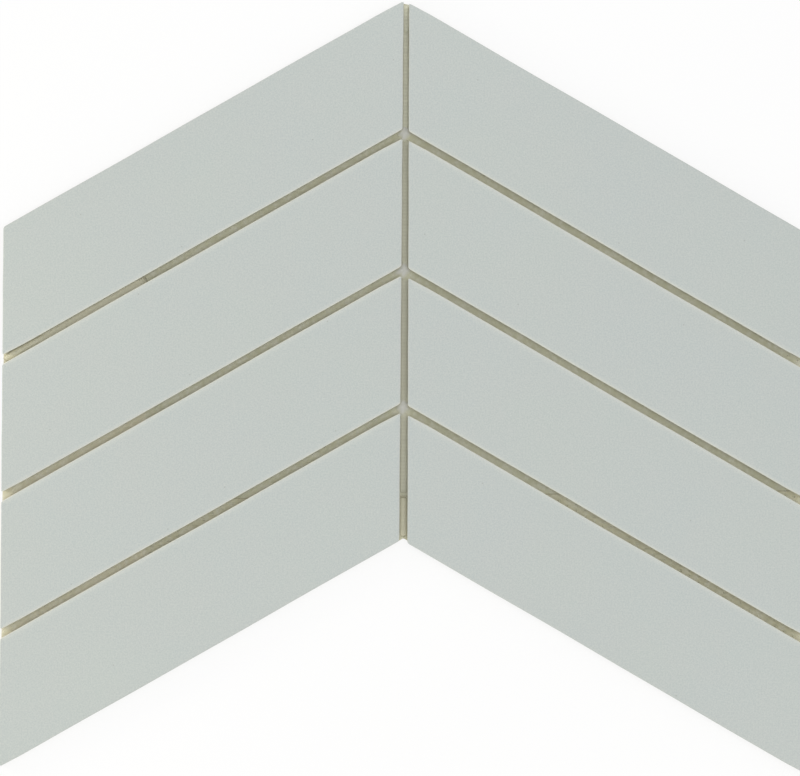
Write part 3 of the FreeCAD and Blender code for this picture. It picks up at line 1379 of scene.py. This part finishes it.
@dataclass
class GlueBlob:
    """Dried blob of glue on the backing: a dot, a smear or a crumb, with an uneven rim."""

    name: str
    middle: Point2
    half_length: float
    half_width: float
    height: float
    angle: float = 0.0
    ragged: float = 0.05
    lobes: tuple[Lobe, ...] = ()
    stands_for: tuple[str, ...] = ()
    fullness: float = 2.0
    roundness: float = 1.0
    base: float = 0.34 * MM
    spokes: int = 56
    rings: int = 10
    ripple_orders: tuple[int, ...] = (2, 3, 5, 7)
    ripple_sizes: Point2 = (0.3, 1.0)

    def rim(self, turn: float, ripples: Sequence[Ripple]) -> Point2:
        """Point of the rim, from the middle of the blob and along its own axes.

        Args:
            turn: Direction of the point.
            ripples: Ripples of the rim.

        Returns:
            Distances along and across the blob.
        """
        waves = [item.size * math.sin(item.order * turn + math.tau * item.phase) for item in ripples]
        uneven = 1.0 + sum(waves)
        extra = 0.0
        for lobe in self.lobes:
            apart = (math.degrees(turn) - lobe.direction + 180.0) % 360.0 - 180.0
            extra = max(extra, lobe.reach * math.exp(-(apart / lobe.spread) ** 2))
        along = math.copysign(abs(math.cos(turn)) ** self.roundness, math.cos(turn))
        across = math.copysign(abs(math.sin(turn)) ** self.roundness, math.sin(turn))
        return (self.half_length * uneven + extra) * along, (self.half_width * uneven + extra) * across

    def build(self) -> bpy.types.Object:
        """Make the blob's mesh in its place.

        Returns:
            The blob.
        """
        dice = random.Random(self.name)
        ripples = [Ripple(order, dice.uniform(*self.ripple_sizes) * self.ragged, dice.random())
                   for order in self.ripple_orders]
        lean = math.radians(self.angle)
        vertices = []
        for ring in range(self.rings):
            part = 1.0 - ring / self.rings
            level = self.base + self.height * (1.0 - part ** self.fullness)
            for spoke in range(self.spokes):
                x, y = turned(*self.rim(math.tau * spoke / self.spokes, ripples), lean)
                vertices.append((self.middle[0] + part * x, self.middle[1] + part * y, level))
        vertices.append((self.middle[0], self.middle[1], self.base + self.height))
        return new_object(self.name, vertices, ring_faces(self.spokes, self.rings))

    def dress(self, material: bpy.types.Material) -> None:
        """Build the blob and finish it."""
        settle(self.build(), Slot.GLUE, material, self.stands_for)


class CrumbPlace(NamedTuple):
    """Place of a crumb: the row above its joint, and its distances across the column and up the sheet."""

    row: int
    across: float
    up: float


@dataclass
class GlueWork:
    """All the glue that shows: a dot at each junction, smears in the joints and a few crumbs."""

    layout: SheetLayout
    dot_width: float = 2.30 * MM
    dot_length: float = 2.60 * MM
    dot_height: float = 0.62 * MM
    dot_shift: float = 0.25 * MM
    dot_rise: float = 0.9 * MM
    dot_tongues: tuple[tuple[Lobe, ...], ...] = (
        (Lobe(104.0, 30.0, 0.9 * MM), Lobe(258.0, 26.0, 1.6 * MM),
         Lobe(207.0, 24.0, 1.0 * MM), Lobe(335.0, 24.0, 0.4 * MM)),
        (Lobe(102.0, 30.0, 0.5 * MM), Lobe(258.0, 26.0, 1.8 * MM),
         Lobe(207.0, 24.0, 2.4 * MM), Lobe(335.0, 24.0, 0.5 * MM)),
        (Lobe(104.0, 30.0, 0.6 * MM), Lobe(255.0, 28.0, 2.2 * MM),
         Lobe(207.0, 24.0, 1.4 * MM), Lobe(335.0, 24.0, 0.4 * MM)),
    )
    peak_middle: Point2 = (0.0, 139.0 * MM)
    peak_half_length: float = 6.3 * MM
    peak_half_width: float = 1.7 * MM
    peak_height: float = 1.45 * MM
    skin_heights: tuple[float, ...] = (1.15 * MM, 0.36 * MM, 0.20 * MM, 0.30 * MM)
    skin_half_width: float = 1.60 * MM
    skin_shift: float = 0.05 * MM
    skin_lap: float = 0.8 * MM
    skin_top: float = 143.0 * MM
    # Place up the sheet of the painted shadow line at the ply's foot, and the gap that the skins keep from it
    hem_line: float = -41.82 * MM
    hem_clearance: float = 0.25 * MM
    foot_height: float = 0.50 * MM
    foot_rise: float = 3.2 * MM
    strip_across: float = 47.6 * MM
    strip_half_length: float = 31.7 * MM
    strip_height: float = 0.42 * MM
    outer_across: float = 67.0 * MM
    outer_half_length: float = 9.4 * MM
    outer_height: float = 1.30 * MM
    slanted_half_width: float = 1.9 * MM
    long_ragged: float = 0.005
    long_spokes: int = 96
    crumb_radius: float = 0.26 * MM
    crumb_stretch: float = 1.2
    crumb_height: float = 0.7 * MM
    crumb_turn: float = 40.0
    crumb_places: tuple[CrumbPlace, ...] = (
        CrumbPlace(0, 69.0 * MM, 0.5 * MM), CrumbPlace(0, 72.6 * MM, 0.6 * MM),
        CrumbPlace(1, 68.2 * MM, 0.5 * MM), CrumbPlace(1, 71.9 * MM, 0.3 * MM),
    )

    def dots(self) -> list[GlueBlob]:
        """Dots where four tile corners meet, each drawn out into the joints around it.

        Returns:
            The dots.
        """
        blobs = []
        for row, tongues in enumerate(self.dot_tongues[:self.layout.tile_rows - 1]):
            x, y = self.layout.junction(row)
            node = f"glue_dot_{row + 1}"
            blobs.append(GlueBlob(f"{node}_blob", (x - self.dot_shift, y + self.dot_rise), self.dot_width,
                                  self.dot_length, self.dot_height, lobes=tongues, stands_for=(node,),
                                  fullness=1.7))
        return blobs

    def smears(self) -> list[GlueBlob]:
        """Thin skins of glue along the joint between the columns.

        Returns:
            The skin at the peak, and the one beside each row's sides.
        """
        blobs = [GlueBlob("glue_smear_peak", self.peak_middle, self.peak_half_length, self.peak_half_width,
                          self.peak_height, angle=UPRIGHT, ragged=0.03, fullness=5.0, roundness=0.6)]
        for row, height in enumerate(self.skin_heights[:self.layout.tile_rows]):
            y = self.layout.junction(row)[1]
            last = row == self.layout.tile_rows - 1
            low = self.hem_line + self.hem_clearance if last else y + self.skin_lap
            high = min(y + self.layout.pitch - self.skin_lap, self.skin_top)
            blobs.append(self.skin(str(row + 1), low, high, height, fullness=5.0, roundness=0.35))
        return blobs

    def pale_smears(self) -> list[GlueBlob]:
        """Paler skins of glue.

        Returns:
            The skin along the left strip of the first joint, the one at that joint's end, and the one at
            the foot of the joint between the columns.
        """
        strip = self.layout.joint_point(Hand.LEFT, 0, self.strip_across)
        outer = self.layout.joint_point(Hand.LEFT, 0, self.outer_across)
        slant = math.degrees(self.layout.chevron_angle)
        foot = self.layout.junction(self.layout.tile_rows - 1)[1] + self.foot_rise
        return [GlueBlob("glue_smear_strip", strip, self.strip_half_length, self.slanted_half_width,
                         self.strip_height, angle=slant, ragged=self.long_ragged, spokes=self.long_spokes,
                         fullness=6.0, roundness=0.3),
                GlueBlob("glue_smear_left", outer, self.outer_half_length, self.slanted_half_width,
                         self.outer_height, angle=slant, ragged=0.02, fullness=3.0, roundness=0.6),
                self.skin("foot", foot, self.hem_line - self.hem_clearance, self.foot_height,
                          fullness=4.0, roundness=0.4)]

    def skin(self, word: str, low: float, high: float, height: float, fullness: float,
             roundness: float) -> GlueBlob:
        """Thin skin of glue along the joint between the columns.

        Args:
            word: Last word of the skin's name.
            low: Its end towards the notch.
            high: Its end towards the peak.
            height: Its thickness.
            fullness: How flat its top is.
            roundness: How square its ends are, from 1 for round to 0 for square.

        Returns:
            The skin.
        """
        middle = (-self.skin_shift, (low + high) / 2.0)
        return GlueBlob(f"glue_smear_{word}", middle, (high - low) / 2.0, self.skin_half_width, height,
                        angle=UPRIGHT, ragged=self.long_ragged, spokes=self.long_spokes,
                        fullness=fullness, roundness=roundness)

    def crumbs(self) -> list[GlueBlob]:
        """Specks of glue on the backing near the right ends of two joints.

        Returns:
            The crumbs.
        """
        blobs = []
        for number, place in enumerate(self.crumb_places, start=1):
            x, y = self.layout.joint_point(Hand.RIGHT, place.row, place.across)
            half_length = self.crumb_radius * self.crumb_stretch
            blobs.append(GlueBlob(f"glue_crumb_{number}", (x, y + place.up), half_length, self.crumb_radius,
                                  self.crumb_height, angle=self.crumb_turn * number, ragged=0.10,
                                  spokes=16, rings=6))
        return blobs

    def dress(self, thick: bpy.types.Material, skin: bpy.types.Material, pale: bpy.types.Material) -> None:
        """Build every blob and finish it.

        Args:
            thick: Finish of the dots and crumbs.
            skin: Finish of the smears.
            pale: Finish of the paler smears.
        """
        for blobs, material in ((self.dots() + self.crumbs(), thick), (self.smears(), skin),
                                (self.pale_smears(), pale)):
            for blob in blobs:
                blob.dress(material)


@dataclass
class Lamp:
    """One soft square lamp, aimed at the middle of the sheet.

    The azimuth is from +X towards +Y and the tilt is from straight above, both in degrees.
    """

    name: str
    azimuth: float
    tilt: float
    distance: float
    size: float
    power: float
    colour: tuple[float, float, float]

    def build(self) -> None:
        """Hang the lamp."""
        data = bpy.data.lights.new(self.name, "AREA")
        data.shape = "SQUARE"
        data.size = self.size
        data.energy = self.power
        data.color = self.colour
        lamp = add_object(self.name, data)
        turn, lean = math.radians(self.azimuth), math.radians(self.tilt)
        away = Vector((math.sin(lean) * math.cos(turn), math.sin(lean) * math.sin(turn), math.cos(lean)))
        lamp.location = away * self.distance
        lamp.rotation_euler = (-away).to_track_quat("-Z", "Y").to_euler()
        lamp.visible_camera = False
        LOG.info("lamp %s", self.name)


@dataclass
class Studio:
    """White floor, soft light and a camera straight above the sheet, framed as in the photograph."""

    image_width: int = 800
    pixels_per_mm: float = 2.637
    view_x: float = -1.60 * MM
    view_y: float = -0.73 * MM
    roll: float = math.radians(0.321)
    camera_height: float = 2.2
    sensor: float = 36.0
    face_height: float = 7.0 * MM
    floor_size: float = 2.4
    ambient: float = 0.68
    lamps: tuple[Lamp, ...] = (
        Lamp("key_softbox", 8.0, 5.5, 1.6, 0.72, 6.13, (1.0, 1.0, 1.0)),
        Lamp("left_fill", 175.0, 70.0, 0.46, 0.12, 0.25, (1.0, 0.94, 0.72)),
        Lamp("right_fill", -42.0, 70.0, 0.46, 0.12, 0.09, (1.0, 0.93, 0.80)),
        Lamp("peak_fill", 90.0, 70.0, 0.32, 0.10, 0.036, (1.0, 1.0, 0.97)),
        Lamp("foot_fill", 236.0, 71.5, 0.38, 0.12, 0.062, (1.0, 0.97, 0.75)),
    )

    def build(self) -> None:
        """Set up the whole studio."""
        self.build_floor()
        self.build_world()
        for lamp in self.lamps:
            lamp.build()
        self.build_camera()
        bpy.context.scene.view_settings.view_transform = "Standard"

    def build_floor(self) -> None:
        """Lay the floor at the sheet's underside."""
        half = self.floor_size / 2.0
        corners = [(-half, -half, 0.0), (half, -half, 0.0), (half, half, 0.0), (-half, half, 0.0)]
        floor = new_object("floor", corners, [(0, 1, 2, 3)])
        floor.data.materials.append(FloorFinish().build())

    def build_world(self) -> None:
        """Even light from all round, and plain white where the camera sees past the floor."""
        world = bpy.data.worlds.new("studio")
        world.use_nodes = True
        bpy.context.scene.world = world
        graph = NodeGraph(world.node_tree)
        even = graph.add("ShaderNodeBackground", Color=WHITE, Strength=self.ambient)
        white = graph.add("ShaderNodeBackground", Color=WHITE, Strength=1.0)
        blend = graph.mix_shaders(seen_directly(graph), even.outputs["Background"],
                                  white.outputs["Background"])
        graph.add("ShaderNodeOutputWorld", Surface=blend)

    def build_camera(self) -> None:
        """Hang the camera over the sheet with a long lens."""
        data = bpy.data.cameras.new("camera")
        data.sensor_width = self.sensor
        view_width = self.image_width / self.pixels_per_mm * MM
        data.lens = self.sensor * (self.camera_height - self.face_height) / view_width
        camera = add_object("camera", data)
        camera.location = (self.view_x, self.view_y, self.camera_height)
        camera.rotation_euler = (0.0, 0.0, self.roll)
        bpy.context.scene.camera = camera


def main() -> None:
    """Dress every piece of the frame in order and set up the studio."""
    logging.basicConfig(level=logging.INFO, format="%(message)s")
    LOG.info("frame with %d nodes", len(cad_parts))
    layout = SheetLayout()
    effects = EffectLibrary()

    glaze = GlazeFinish(effects).build()
    for hand in Hand:
        for row in range(layout.tile_rows):
            GlazedTile(layout, hand, row).dress(glaze)

    WovenBacking(layout).dress({layer: BackingFinish(effects, layer).build() for layer in Layer})

    thick = GlueFinish(effects, "dried_glue", colour=(0.74, 0.738, 0.69, 1.0), shade=(0.68, 0.675, 0.62, 1.0))
    skin = GlueFinish(effects, "glue_skin", colour=(0.835, 0.825, 0.66, 1.0), shade=(0.75, 0.735, 0.57, 1.0),
                      weave_amount=0.45)
    pale = GlueFinish(effects, "pale_glue_skin", colour=(0.80, 0.77, 0.585, 1.0),
                      shade=(0.72, 0.69, 0.51, 1.0), thin_colour=(0.765, 0.735, 0.55, 1.0),
                      weave_amount=0.15)
    GlueWork(layout).dress(thick.build(), skin.build(), pale.build())

    Studio().build()


if __name__ == "__main__":
    main()
